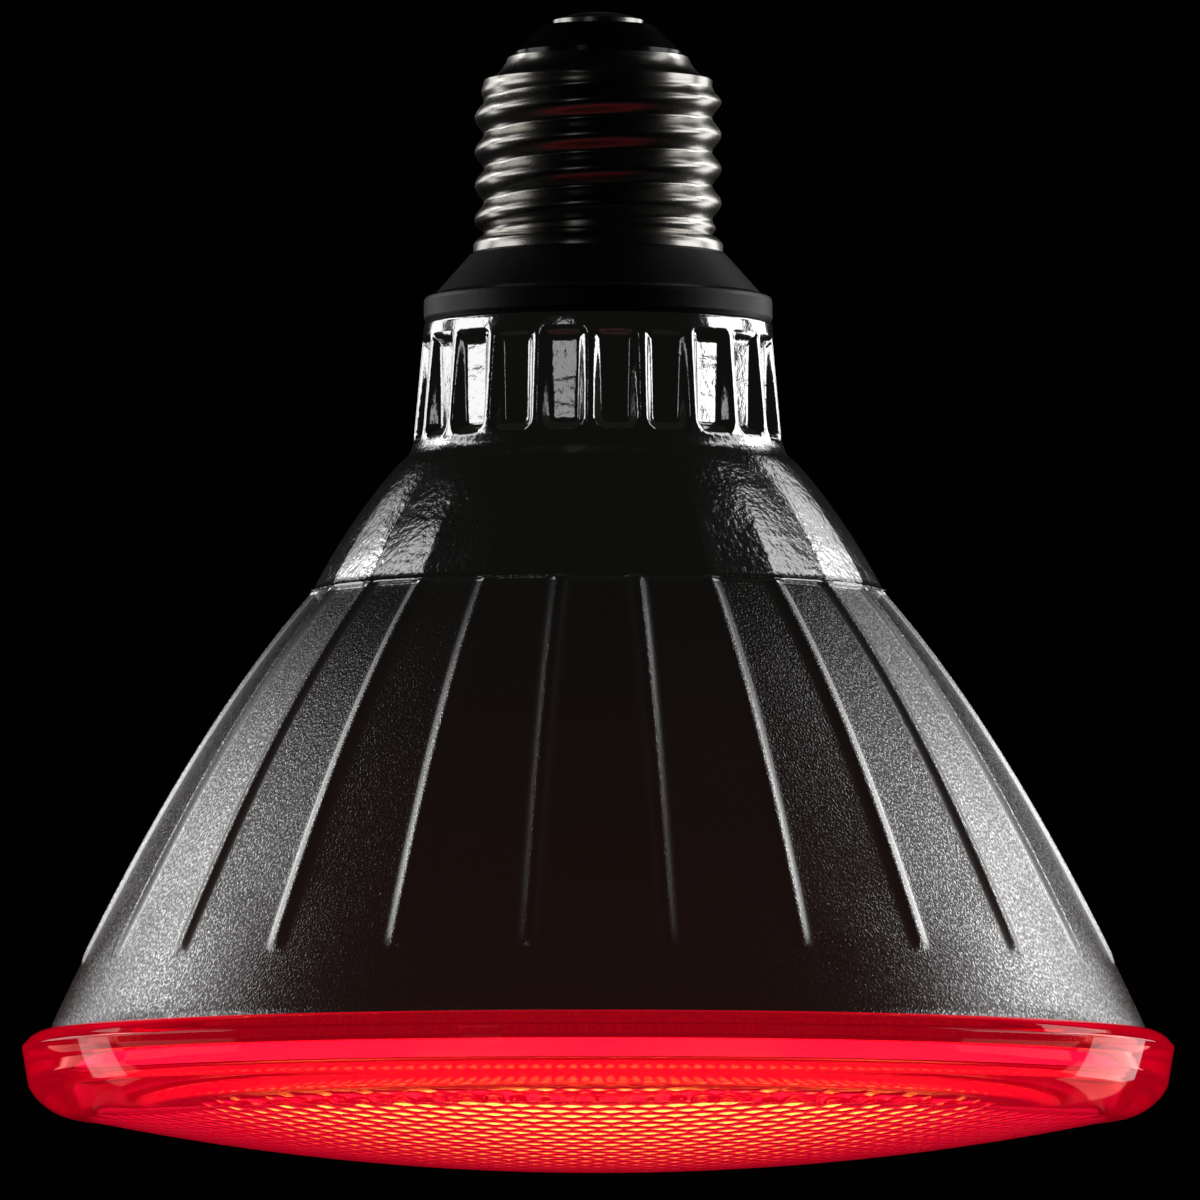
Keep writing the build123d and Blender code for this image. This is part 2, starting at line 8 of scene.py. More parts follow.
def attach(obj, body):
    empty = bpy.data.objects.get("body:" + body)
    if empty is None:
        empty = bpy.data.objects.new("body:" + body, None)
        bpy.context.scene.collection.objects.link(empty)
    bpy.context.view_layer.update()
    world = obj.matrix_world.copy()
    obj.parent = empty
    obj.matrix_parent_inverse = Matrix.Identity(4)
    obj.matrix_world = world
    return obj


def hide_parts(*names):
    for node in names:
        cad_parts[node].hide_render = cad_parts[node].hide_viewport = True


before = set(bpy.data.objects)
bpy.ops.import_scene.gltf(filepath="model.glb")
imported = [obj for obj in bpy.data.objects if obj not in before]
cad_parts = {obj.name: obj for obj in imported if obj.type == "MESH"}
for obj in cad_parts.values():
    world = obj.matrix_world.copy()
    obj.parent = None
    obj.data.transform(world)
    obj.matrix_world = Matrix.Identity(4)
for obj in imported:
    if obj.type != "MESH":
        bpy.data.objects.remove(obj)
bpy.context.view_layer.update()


# Heat sink and thermal pad: a turned aluminium plug pushed into the driver tube, and the grey gap pad
# that carries the LED board's heat into it.
class Shade:
    """A shader socket that joins in Python arithmetic. Its node method adds any other kind of node."""

    def __init__(self, tree, socket=None):
        self.tree = tree
        self.socket = socket

    def node(self, kind, settings, sockets, output=0):
        made = self.tree.nodes.new(kind)
        for name, value in settings.items():
            if name == "stops":
                while len(made.color_ramp.elements) < len(value):
                    made.color_ramp.elements.new(1.0)
                for element, (place, colour) in zip(made.color_ramp.elements, value):
                    element.position = place
                    element.color = (*colour, 1.0)
            else:
                setattr(made, name, value)
        for name, value in sockets.items():
            self.feed(made, name, value)
        return Shade(self.tree, made.outputs[output])

    def feed(self, node, name, value):
        if isinstance(value, Shade):
            self.tree.links.new(value.socket, node.inputs[name])
        else:
            node.inputs[name].default_value = value

    def math(self, operation, *values):
        return self.node("ShaderNodeMath", {"operation": operation}, dict(enumerate(values)))

    def clamp(self):
        return self.node("ShaderNodeClamp", {}, {"Value": self})

    def blend(self, dark, light):
        """Mix two colours by this value."""
        sockets = {"Factor": self, 6: (*dark, 1.0), 7: (*light, 1.0)}
        return self.node("ShaderNodeMix", {"data_type": "RGBA"}, sockets, 2)

    def __add__(self, other):
        return self.math("ADD", self, other)

    def __radd__(self, other):
        return self.math("ADD", other, self)

    def __sub__(self, other):
        return self.math("SUBTRACT", self, other)

    def __rsub__(self, other):
        return self.math("SUBTRACT", other, self)

    def __mul__(self, other):
        return self.math("MULTIPLY", self, other)

    def __rmul__(self, other):
        return self.math("MULTIPLY", other, self)

    def __truediv__(self, other):
        return self.math("DIVIDE", self, other)


def start_finish(name):
    """A new material with its Principled shader and the piece's own coordinates."""
    finish = bpy.data.materials.new(name)
    finish.use_nodes = True
    shader = finish.node_tree.nodes["Principled BSDF"]
    place = Shade(finish.node_tree).node("ShaderNodeTexCoord", {}, {}, "Object")
    return finish, shader, place


def end_finish(shader, place, values):
    """Set the shader's plain values and link those that vary over the surface."""
    for name, value in values.items():
        place.feed(shader, name, value)


def noise(place, scale, detail=2.0, stretch=(1.0, 1.0, 1.0)):
    """Noise with a number of grains to the metre."""
    spot = place.node("ShaderNodeMapping", {}, {"Vector": place, "Scale": stretch})
    return place.node("ShaderNodeTexNoise", {}, {"Vector": spot, "Scale": scale, "Detail": detail})


def bump(height, depth):
    """A normal from a height between 0 and 1 and the depth in metres that it stands for."""
    return height.node("ShaderNodeBump", {}, {"Height": height, "Distance": depth})


def plain_finish(name, dark, light, scale, rough, metallic=0.0, grain=0.0, stretch=(1.0, 1.0, 1.0)):
    """A finish that wanders between two colours, with a little grain in its gloss and surface."""
    finish, shader, place = start_finish(name)
    cloud = noise(place, scale, 3.0, stretch)
    gloss_wander = 0.16
    values = {
        "Base Color": cloud.blend(dark, light),
        "Roughness": rough + gloss_wander * (cloud - 0.5),
        "Metallic": metallic,
    }
    if grain:
        values["Normal"] = bump(noise(place, 4.0 * scale, 2.0, stretch), grain)
    end_finish(shader, place, values)
    return finish


def dress(name, finish):
    """Put a finish on a CAD solid that is shown as it is."""
    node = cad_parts[name]
    node.data.materials.clear()
    node.data.materials.append(finish)
    return node


turned_aluminium = plain_finish(
    "turned_aluminium", (0.60, 0.60, 0.61), (0.72, 0.72, 0.72), 900.0, 0.34, 1.0, 1e-5, (1.0, 1.0, 12.0)
)
dress("heat_sink", turned_aluminium)
gap_pad = plain_finish("gap_pad", (0.20, 0.21, 0.24), (0.27, 0.28, 0.31), 1200.0, 0.8, 0.0, 2e-5)
dress("thermal_pad", gap_pad)


# LED board: a metal-core disc with a white solder mask, held up by two pan-head screws. The leads come
# through from above and are closed with solder on its face.
white_mask = plain_finish("white_mask", (0.70, 0.69, 0.66), (0.80, 0.79, 0.76), 700.0, 0.38)
dress("led_board", white_mask)
zinc_plate = plain_finish("zinc_plate", (0.52, 0.53, 0.56), (0.68, 0.68, 0.70), 1500.0, 0.3, 1.0, 6e-6)
dress("board_screws", zinc_plate)
bright_solder = plain_finish("bright_solder", (0.62, 0.62, 0.63), (0.78, 0.78, 0.78), 1400.0, 0.24, 1.0, 1e-5)
dress("lead_solder", bright_solder)


# LED packages: twelve moulded white cups with a phosphor filling, soldered flat on the board. They glow
# as lamps. The glow on the mirror and in the lens is painted on those parts.
led_warmth = (1.0, 0.30, 0.06)
led_strength = 30.0
phosphor, shader, place = start_finish("phosphor")
end_finish(
    shader,
    place,
    {
        "Base Color": noise(place, 2000.0).blend((0.80, 0.52, 0.16), (0.86, 0.62, 0.24)),
        "Roughness": 0.5,
        "Emission Color": (*led_warmth, 1.0),
        "Emission Strength": led_strength,
    },
)
dress("led_packages", phosphor)


# Leads: thin stranded wires with a coloured plastic skin. Two run from the driver board to the LED board,
# and two run up to the cap's shell and centre contact. They are soldered at their ends.
skin_sheen = 1.25
lead_colours = {
    "led_lead_positive": ("wire_red", (0.42, 0.02, 0.02)),
    "led_lead_negative": ("wire_black", (0.015, 0.015, 0.016)),
    "live_lead": ("wire_brown", (0.16, 0.07, 0.03)),
    "neutral_lead": ("wire_blue", (0.03, 0.08, 0.38)),
}
for lead, (slot, colour) in lead_colours.items():
    lighter = tuple(skin_sheen * part for part in colour)
    dress(lead, plain_finish(slot, colour, lighter, 900.0, 0.45))


# Driver board: a glass-fibre board on edge in the housing's rails, with the transformer, capacitors,
# choke, chip, rectifier and fuse soldered to both faces.
driver_finishes = {
    "driver_board": ("board_green", (0.02, 0.13, 0.06), (0.03, 0.19, 0.08), 0.36, 0.0),
    "transformer_core": ("ferrite", (0.05, 0.05, 0.055), (0.08, 0.08, 0.085), 0.62, 0.0),
    "transformer_winding": ("winding_tape", (0.55, 0.40, 0.05), (0.66, 0.50, 0.09), 0.34, 0.0),
    "reservoir_capacitor": ("can_sleeve", (0.02, 0.025, 0.05), (0.03, 0.035, 0.07), 0.32, 0.0),
    "film_capacitor": ("film_case", (0.50, 0.37, 0.03), (0.58, 0.44, 0.05), 0.38, 0.0),
    "choke": ("choke_copper", (0.48, 0.18, 0.07), (0.66, 0.28, 0.12), 0.34, 1.0),
    "control_chip": ("chip_black", (0.02, 0.02, 0.021), (0.035, 0.035, 0.036), 0.55, 0.0),
    "bridge_rectifier": ("chip_black", (0.02, 0.02, 0.021), (0.035, 0.035, 0.036), 0.55, 0.0),
    "fuse_resistor": ("fuse_body", (0.10, 0.26, 0.20), (0.14, 0.33, 0.25), 0.4, 0.0),
}
for component, (slot, dark, light, rough, metallic) in driver_finishes.items():
    dress(component, plain_finish(component, dark, light, 1100.0, rough, metallic))


# Driver housing: one black moulding, with the tube in the glass neck, the collar that closes the neck and
# the spigot inside the screw shell. Fine spark texture on its outside.
mm = 0.001
edge_round = 0.25


def smooth_copy(name, crease=30.0):
    """A merged copy of a CAD solid, with soft shading on its round faces."""
    bm = bmesh.new()
    bm.from_mesh(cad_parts[name].data)
    bmesh.ops.remove_doubles(bm, verts=bm.verts, dist=1e-6)
    soften(bm, crease)
    return bm


def soften(bm, crease):
    """Shade faces smooth and keep edges that turn by more than an angle sharp."""
    for face in bm.faces:
        face.smooth = True
    for edge in bm.edges:
        edge.smooth = len(edge.link_faces) == 2 and edge.calc_face_angle() < radians(crease)


def make_piece(name, bm, *finishes):
    """Turn a finished mesh in metres into a piece of the lamp."""
    mesh = bpy.data.meshes.new(name)
    bm.to_mesh(mesh)
    bm.free()
    for finish in finishes:
        mesh.materials.append(finish)
    piece = bpy.data.objects.new(name, mesh)
    bpy.context.scene.collection.objects.link(piece)
    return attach(piece, "root")


black_moulding = plain_finish(
    "black_moulding", (0.010, 0.010, 0.011), (0.016, 0.016, 0.017), 500.0, 0.44, 0.0, 2e-5
)
housing = make_piece("driver_collar", smooth_copy("driver_housing"), black_moulding)
rounding = housing.modifiers.new("rounded_edges", "BEVEL")
rounding.width = edge_round * mm
rounding.segments = 2
rounding.limit_method = "ANGLE"
rounding.angle_limit = radians(40.0)
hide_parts("driver_housing")


# Neck seal and lens seal: silicone run into the joints while soft, one between housing and glass, one
# between glass and lens.
dark_silicone = plain_finish("dark_silicone", (0.030, 0.028, 0.027), (0.055, 0.050, 0.048), 300.0, 0.5)
dress("neck_seal", dark_silicone)
dress("lens_seal", dark_silicone)


# Screw shell: thin nickel-plated brass, drawn as a cup and rolled into a round coarse thread, pushed over
# the housing's spigot. The thread runs out below the shoulder and above the rim band.
def stroke(bm, last, end, bulge=0.0, steps=1):
    """Draw on from a vertex to an (r, z) point, straight or on an arc that bulges to the left."""
    if not bulge:
        edge = bmesh.ops.extrude_vert_indiv(bm, verts=[last])
        tip = edge["verts"][0]
        tip.co = (end[0], 0.0, end[1])
        return tip
    start = Vector((last.co.x, last.co.z))
    chord = Vector(end) - start
    length = chord.length
    side = Vector((-chord.y, chord.x)) / length
    radius = (length**2 / 4 + bulge**2) / (2 * bulge)
    centre = start + chord / 2 - side * (radius - bulge)
    made = bmesh.ops.spin(
        bm,
        geom=[last],
        cent=(centre.x, 0.0, centre.y),
        axis=(0.0, 1.0, 0.0),
        angle=4 * atan2(2 * bulge, length),
        steps=steps,
    )
    return [item for item in made["geom_last"] if isinstance(item, bmesh.types.BMVert)][0]


def draw(bm, tip, *strokes):
    """Draw on from a vertex through several strokes and return the last vertex."""
    for point in strokes:
        tip = stroke(bm, tip, *point)
    return tip


def ladder(bm, tip, end, rows):
    """Draw on straight to an (r, z) point in equal steps."""
    start = Vector((tip.co.x, tip.co.z))
    for row in range(rows):
        tip = stroke(bm, tip, start.lerp(Vector(end), (row + 1) / rows))
    return tip


def turn(bm, steps, offset=0.0):
    """Spin everything drawn so far into a closed body of revolution about the lamp's axis."""
    bmesh.ops.rotate(bm, verts=bm.verts, cent=(0, 0, 0), matrix=Matrix.Rotation(offset, 3, "Z"))
    bmesh.ops.spin(
        bm,
        geom=[*bm.verts, *bm.edges],
        cent=(0, 0, 0),
        axis=(0, 0, 1),
        angle=2 * pi,
        steps=steps,
        use_merge=True,
    )
    bmesh.ops.remove_doubles(bm, verts=bm.verts, dist=1e-5)
    bmesh.ops.recalc_face_normals(bm, faces=bm.faces)


def smooth_step(value):
    """0 below 0, 1 above 1, and a soft rise between."""
    share = min(1.0, max(0.0, value))
    return share * share * (3 - 2 * share)


shell_core, shell_sheet, thread_depth, thread_pitch = 12.1, 0.35, 1.0, 3.629
band_straight, band_top, band_radius = 1.0, 2.0, 13.25
shell_straight, shell_top, shell_lip, lip_flat = 18.5, 21.0, 9.0, 0.6
rim_round, thread_run_in, thread_run_out, thread_fullness = 0.1, 1.2, 2.5, 0.8
inside = shell_core - shell_sheet
inside_top = shell_straight - rim_round
thread_rows = 130
shell_steps = 180

bm = bmesh.new()
tip = draw(
    bm,
    bm.verts.new((band_radius - shell_sheet, 0.0, 0.0)),
    ((band_radius - rim_round, 0.0),),
    ((band_radius, rim_round), 0.03, 3),
    ((band_radius, band_straight),),
    ((shell_core, band_top), -0.12, 6),
)
tip = ladder(bm, tip, (shell_core, shell_straight), thread_rows)
tip = draw(
    bm,
    tip,
    ((shell_lip + lip_flat, shell_top - rim_round), 0.45, 8),
    ((shell_lip + rim_round, shell_top), 0.05, 3),
    ((shell_lip, shell_top - rim_round), 0.03, 3),
    ((shell_lip, shell_top - shell_sheet),),
    ((inside, inside_top), -0.45, 6),
)
tip = ladder(bm, tip, (inside, band_top), thread_rows)
draw(bm, tip, ((band_radius - shell_sheet, band_straight),), ((band_radius - shell_sheet, 0.0),))
turn(bm, shell_steps)
for vert in bm.verts:
    angle = atan2(vert.co.y, vert.co.x)
    level = vert.co.z
    wave = 0.5 - 0.5 * cos(2 * pi * level / thread_pitch - angle)
    run_in = smooth_step((level - band_top) / thread_run_in)
    run_out = smooth_step((shell_straight - level) / thread_run_out)
    push = thread_depth * wave**thread_fullness * run_in * run_out
    radius = hypot(vert.co.x, vert.co.y)
    vert.co.x *= (radius + push) / radius
    vert.co.y *= (radius + push) / radius
soften(bm, 45.0)
bmesh.ops.scale(bm, vec=(mm, mm, mm), verts=bm.verts)

nickel, shader, place = start_finish("nickel")
handling = noise(place, 160.0, 4.0)
rolling = noise(place, 700.0, 2.0, (1.0, 1.0, 14.0))
end_finish(
    shader,
    place,
    {
        "Base Color": handling.blend((0.56, 0.53, 0.49), (0.70, 0.68, 0.64)),
        "Metallic": 1.0,
        "Roughness": 0.14 + 0.14 * handling + 0.08 * rolling,
        "Normal": bump(rolling, 6e-6),
    },
)
shell = make_piece("rolled_shell", bm, nickel)
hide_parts("screw_shell")


# Cap insulator: black glassy disc trapped under the shell's shoulder, with the centre contact's tinned
# brass rivet through it.
black_glass = plain_finish("black_glass", (0.008, 0.008, 0.009), (0.013, 0.013, 0.014), 400.0, 0.2)
insulator = make_piece("insulator_disc", smooth_copy("cap_insulator"), black_glass)
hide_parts("cap_insulator")
tinned_brass = plain_finish(
    "tinned_brass", (0.60, 0.58, 0.54), (0.74, 0.73, 0.70), 500.0, 0.3, 1.0, 1.2e-5
)
contact = make_piece("contact_rivet", smooth_copy("centre_contact"), tinned_brass)
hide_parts("centre_contact")


# Glass reflector: one heavy pressing of clear glass, silvered with aluminium inside. The neck has moulded
# pockets, the shoulder is fire-polished and wavy, and the ribbed skirt is stippled by the mould. The glass
# has a faint painted glow, redder towards the lens; the mirror inside has a painted glow of LED light.
neck_top, neck_base, ledge, land, mouth = -7.5, -20.6, -36.2, -82.5, -84.9
neck_top_radius, neck_base_radius, bore_radius, neck_round = 18.5, 19.6, 15.5, 0.2
ledge_radius, ledge_step, mouth_radius, mirror_radius, mouth_round = 30.05, 0.55, 58.05, 55.65, 0.3
throat, thinnest_glass = -28.22, 0.8
skirt_growth = (mouth_radius**2 - ledge_radius**2) / (ledge - land)
mirror_growth = (mirror_radius**2 - bore_radius**2) / (throat - mouth)
neck_foot = (neck_base_radius, neck_base + 0.5)
neck_cove = (neck_base_radius + 0.7, neck_base - 1.1)
shoulder_bend = (neck_base_radius + 2.5, neck_base - 2.9)
shoulder_foot = (ledge_radius + ledge_step - 0.25, ledge + 0.35)
ledge_edge = (ledge_radius + ledge_step - 0.12, ledge + 0.02)
ledge_root = (ledge_radius + 0.1, ledge - 0.1)

rib_count, rib_height, rib_crown, rib_reach, rib_polish = 24, 0.38, 0.6, 1.7, 0.75
rib_foot, rib_fade, rib_top, rib_start, rib_lead = 39.7, 1.9, 0.27, 0.3, 0.2
grain_edge, polish_fade = 0.3, 0.6
panel_flatness, flat_fade = 0.7, 8.0
pocket_count, pocket_floor, pocket_half_width, pocket_turn = 21, 17.9, 2.28, radians(1.5)
pocket_low, pocket_high, pocket_corner, pocket_top_corner = -19.8, -9.4, 1.2, 0.4
pocket_lip, pocket_wall = 0.4, 1.25

panel = 2 * pi / rib_count
pitch = 2 * pi / pocket_count
panel_columns = 21
glass_steps = rib_count * panel_columns
pocket_columns = glass_steps / pocket_count
rib_columns, rib_band = 7.5, 1.9
wall_columns, wall_band = 7.5, 1.5
comb_top, comb_foot = neck_base - 1.0, ledge + 1.5
neck_rows, mirror_rows = 38, 26
rib_row, foot_start, foot_row, plain_start, plain_row = 0.9, 36.6, 0.26, 40.7, 0.8
skirt_drops = [rib_row * row for row in range(1, 41)]
skirt_drops += [foot_start + foot_row * row for row in range(14)]
skirt_drops += [plain_start + plain_row * row for row in range(7)]

bm = bmesh.new()
polish = bm.verts.layers.float.new("polish")
tip = draw(
    bm,
    bm.verts.new((bore_radius, 0.0, neck_top)),
    ((neck_top_radius - neck_round, neck_top),),
    ((neck_top_radius, neck_top - neck_round), 0.06, 2),
)
tip = ladder(bm, tip, neck_foot, neck_rows)
tip = draw(
    bm,
    tip,
    (neck_cove, -0.13, 5),
    (shoulder_bend, 0.06, 4),
    (shoulder_foot, 0.43, 22),
    (ledge_edge, 0.09, 4),
    (ledge_root, -0.03, 3),
)
for drop in skirt_drops:
    tip = stroke(bm, tip, (sqrt(ledge_radius**2 + skirt_growth * drop), ledge - drop))
tip = draw(
    bm,
    tip,
    ((mouth_radius, land - 0.2),),
    ((mouth_radius, mouth + mouth_round),),
    ((mouth_radius - mouth_round, mouth), 0.09, 3),
    ((mirror_radius + mouth_round, mouth),),
)
for row in range(mirror_rows + 1):
    radius = mirror_radius + (bore_radius - mirror_radius) * row / mirror_rows
    tip = stroke(bm, tip, (radius, mouth + (mirror_radius**2 - radius**2) / mirror_growth))
stroke(bm, tip, (bore_radius, neck_top))
turn(bm, glass_steps, pi / glass_steps)


def on_outside(radius, level):
    """Whether a point is on the glass's outer face and not on its mirror or bore."""
    bowl_depth = max(0.0, throat - level)
    return radius > sqrt(bore_radius**2 + mirror_growth * bowl_depth) + thinnest_glass


def comb(share, tight, reach, width):
    """Move a column so that the middle ones lie close together: shares and widths from -half to half."""
    side = 1 if share > 0 else -1
    size = abs(share)
    if size <= tight:
        return side * reach * size / tight
    return side * (reach + (width / 2 - reach) * (size - tight) / (0.5 - tight))


def pocket_depth(across, level):
    """How deep a point of the neck lies in its pocket, from 0 on the wall's top to 1 on the floor."""
    corner = pocket_corner if level < (pocket_low + pocket_high) / 2 else pocket_top_corner
    beside = across - pocket_half_width + corner
    above = max(pocket_low - level, level - pocket_high) + corner
    edge = hypot(max(beside, 0.0), max(above, 0.0)) + min(max(beside, above), 0.0) - corner
    return smooth_step((pocket_lip - edge) / pocket_wall)


def rib_profile(across):
    """Height of a rib at a distance from its middle line: a round crown on wide hollow flanks."""
    steepest = 2 * rib_height / rib_reach
    if across < rib_crown:
        return rib_height - steepest * across**2 / (2 * rib_crown)
    return steepest * max(0.0, rib_reach - across) ** 2 / (2 * (rib_reach - rib_crown))


def rib_run(drop):
    """How far a rib stands out along its length: full below the ledge, rounded off at its foot."""
    left = min(1.0, max(0.0, (rib_foot - drop) / rib_fade))
    return sqrt(1 - (1 - left) ** 2) * smooth_step((drop + rib_top) / rib_start)


for vert in bm.verts:
    radius = hypot(vert.co.x, vert.co.y)
    level = vert.co.z
    if not on_outside(radius, level):
        continue
    angle = atan2(vert.co.y, vert.co.x) % (2 * pi)
    share = (angle / panel) % 1.0 - 0.5
    rib_angle = angle - share * panel
    skirt_angle = rib_angle + comb(share, rib_columns / panel_columns, rib_band / radius, panel)
    share = (angle / pitch) % 1.0 - 0.5
    wall_angle = angle - share * pitch + pocket_turn
    neck_angle = wall_angle + comb(share, wall_columns / pocket_columns, wall_band / radius, pitch)
    low = smooth_step((comb_top - level) / (comb_top - comb_foot))
    angle = neck_angle + (skirt_angle - neck_angle) * low
    if level > neck_base:
        pocket_angle = (angle - pocket_turn + pitch / 2) % pitch - pitch / 2
        depth = pocket_depth(abs(radius * sin(pocket_angle)), level)
        radius += min(depth * (pocket_floor / cos(pocket_angle) - radius), 0.0)
    drop = ledge - level
    from_rib = abs(angle - rib_angle)
    flat = panel_flatness * low * smooth_step((rib_foot - drop) / flat_fade)
    radius *= 1 - flat * (1 - cos(panel / 2) / cos(panel / 2 - from_rib))
    if drop > -rib_lead:
        across = from_rib * radius
        run = rib_run(drop)
        past_crown = smooth_step((across - grain_edge) / grain_edge)
        vert[polish] = rib_polish * run * past_crown * smooth_step((rib_reach - across) / polish_fade)
        slope = skirt_growth / (2 * radius)
        rise = rib_profile(across) * run / sqrt(1 + slope**2)
        radius += rise
        vert.co.z += rise * slope
    vert.co.x = radius * cos(angle)
    vert.co.y = radius * sin(angle)
soften(bm, 50.0)
mirror_slot = 1
for face in bm.faces:
    centre = face.calc_center_median()
    if face.normal.x * centre.x + face.normal.y * centre.y < -1.0:
        face.material_index = mirror_slot
bmesh.ops.scale(bm, vec=(mm, mm, mm), verts=bm.verts)

glass, shader, place = start_finish("pressed_glass")
height = place.node("ShaderNodeSeparateXYZ", {}, {"Vector": place}, "Z") / mm
smooth_rib = place.node("ShaderNodeAttribute", {"attribute_name": "polish"}, {}, "Fac")
skirt = ((ledge - 0.05 - height) / 0.3).clamp()
grain = skirt * (1 - smooth_rib)
stipple = noise(place, 4200.0, 1.0, (1.0, 1.0, 0.7))
fleck = ((stipple - 0.46) / 0.2).clamp()
sweep = noise(place, 130.0, 2.0, (1.0, 1.0, 2.0))
dimple = noise(place, 520.0, 1.0)
peel = noise(place, 1700.0, 2.5)
neck = ((height - neck_base) / 0.5).clamp()
# Painted glow: a faint warm emission over all the glass, redder towards the lens, standing in for the lamp's
# red light.
painted_glow_towards_lens = ((ledge - height) / (ledge - mouth)).clamp()
ripple = 0.6 * sweep + (1 - 0.6 * neck) * (0.16 * dimple + 0.22 * peel)
skirt_tone = grain * (0.12 + 0.40 * fleck) + (skirt - grain) * 0.42
shoulder_tone = (1 - skirt) * (0.55 + 0.25 * neck)
relief = grain * (0.17 * stipple) + (1 - skirt) * ripple
end_finish(
    shader,
    place,
    {
        "Base Color": skirt_tone + shoulder_tone,
        "Metallic": 1.0,
        "Roughness": 0.15 - 0.04 * neck + skirt * (0.06 + 0.10 * smooth_rib),
        "Normal": bump(relief, 3.0e-4),
        "Emission Color": painted_glow_towards_lens.blend((0.0042, 0.0040, 0.0036), (0.0110, 0.0043, 0.0036)),
        "Emission Strength": 1.0,
    },
)
mirror, shader, place = start_finish("mirror_coat")
height = place.node("ShaderNodeSeparateXYZ", {}, {"Vector": place}, "Z") / mm
# Painted glow: the mirror's emission stands in for LED light on the bowl. It is reddest at the mouth and
# brightest part way up.
painted_bowl_glow = [
    (0.37, (1.1, 0.02, 0.22)),
    (0.42, (2.2, 0.5, 0.35)),
    (0.48, (7.0, 5.0, 1.1)),
    (0.60, (11.0, 8.5, 1.7)),
    (0.72, (5.0, 1.2, 0.45)),
    (1.0, (4.0, 0.7, 0.35)),
]
painted_glow = place.node("ShaderNodeValToRGB", {"stops": painted_bowl_glow}, {"Fac": (height - mouth) / (throat - mouth)})
end_finish(
    shader,
    place,
    {
        "Base Color": noise(place, 60.0).blend((0.24, 0.24, 0.24), (0.30, 0.30, 0.30)),
        "Metallic": 1.0,
        "Roughness": 0.12,
        "Emission Color": painted_glow,
        "Emission Strength": 1.0,
    },
)
reflector = make_piece("glass_reflector", bm, glass, mirror)
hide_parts("glass_body")


# Front lens: one clear red moulding, smooth outside and covered with small hexagonal lenses inside. Its
# socket hugs the mouth of the glass, with the dark silicone in the seat.
dome_centre, dome_radius, lens_wall = 172.543, 270.0, 2.6
dome_edge, dome_level, lens_foot, foot_level = 54.5, -91.9, 60.3, -88.5
rim_radius, rim_level, lip_radius, lip_level = 61.0, -84.2, 58.35, -82.6
seat_level, seat_radius, inner_land, inner_edge = -85.3, 56.95, -86.3, 54.3
lenslet_pitch, lenslet_rise, lenslet_reach = 2.65, 0.36, 52.5
inner_dome = dome_radius - lens_wall
inner_level = dome_centre - sqrt(inner_dome**2 - inner_edge**2)
lens_vertex = dome_centre - dome_radius
dome_bulge = dome_radius - sqrt(dome_radius**2 - (dome_edge / 2) ** 2)
lip_inside = (lip_radius, lip_level - 0.1)
lip_top = (lip_radius + 0.15, lip_level)
rim_top = (rim_radius - 0.27, rim_level + 0.22)
rim_side = (rim_radius - 0.02, rim_level - 0.3)
lens_steps = 288

bm = bmesh.new()
draw(
    bm,
    bm.verts.new((inner_edge, 0.0, inner_level)),
    ((seat_radius, inner_land), -0.62, 10),
    ((seat_radius, seat_level),),
    ((lip_radius, seat_level),),
    (lip_inside,),
    (lip_top, 0.04, 3),
    (rim_top, 0.28, 8),
    (rim_side, 0.1, 4),
    ((lens_foot, foot_level),),
    ((dome_edge, dome_level), 0.95, 16),
    ((0.0, lens_vertex), dome_bulge, 40),
)
turn(bm, lens_steps)

body_verts = set(bm.verts)
body_faces = set(bm.faces)
row_step = lenslet_pitch * sqrt(3) / 2
rows = int(lenslet_reach / row_step)
columns = int(lenslet_reach / lenslet_pitch) + 1
hexagon = bmesh.ops.create_circle(bm, cap_ends=True, radius=lenslet_pitch / sqrt(3), segments=6)["verts"]
bmesh.ops.translate(bm, verts=hexagon, vec=(-columns * lenslet_pitch, -rows * row_step, 0.0))


def repeat(bm, geometry, step, count):
    """Add copies of a part of the mesh, each one step further on, and return them all."""
    everything = list(geometry)
    for number in range(count):
        copy = bmesh.ops.duplicate(bm, geom=geometry)["geom"]
        corners = [item for item in copy if isinstance(item, bmesh.types.BMVert)]
        bmesh.ops.translate(bm, verts=corners, vec=Vector(step) * (number + 1))
        everything += copy
    return everything


tile = [*hexagon, *hexagon[0].link_faces, *hexagon[0].link_faces[0].edges]
first_row = repeat(bm, tile, (lenslet_pitch, 0.0, 0.0), 2 * columns)
second_row = repeat(bm, first_row, (lenslet_pitch / 2, row_step, 0.0), 1)
repeat(bm, second_row, (0.0, 2 * row_step, 0.0), rows)
lenslets = [face for face in bm.faces if face not in body_faces]
beyond = [face for face in lenslets if face.calc_center_median().length > lenslet_reach]
bmesh.ops.delete(bm, geom=beyond, context="FACES")
bmesh.ops.remove_doubles(bm, verts=[vert for vert in bm.verts if vert not in body_verts], dist=0.01)
lenslets = [face for face in bm.faces if face not in body_faces]
width = 1.0
for inner in (0.75, 0.5, 0.25):
    bmesh.ops.inset_individual(
        bm,
        faces=lenslets,
        thickness=(width - inner) * lenslet_pitch / 2,
        depth=lenslet_rise * (width**2 - inner**2),
        use_even_offset=True,
    )
    width = inner
for vert in bm.verts:
    if vert not in body_verts:
        vert.co.z += dome_centre - sqrt(inner_dome**2 - vert.co.x**2 - vert.co.y**2)
bmesh.ops.triangle_fill(
    bm, use_beauty=True, edges=[edge for edge in bm.edges if edge.is_boundary], normal=(0.0, 0.0, 1.0)
)
bmesh.ops.recalc_face_normals(bm, faces=bm.faces)
soften(bm, 38.0)
bmesh.ops.scale(bm, vec=(mm, mm, mm), verts=bm.verts)

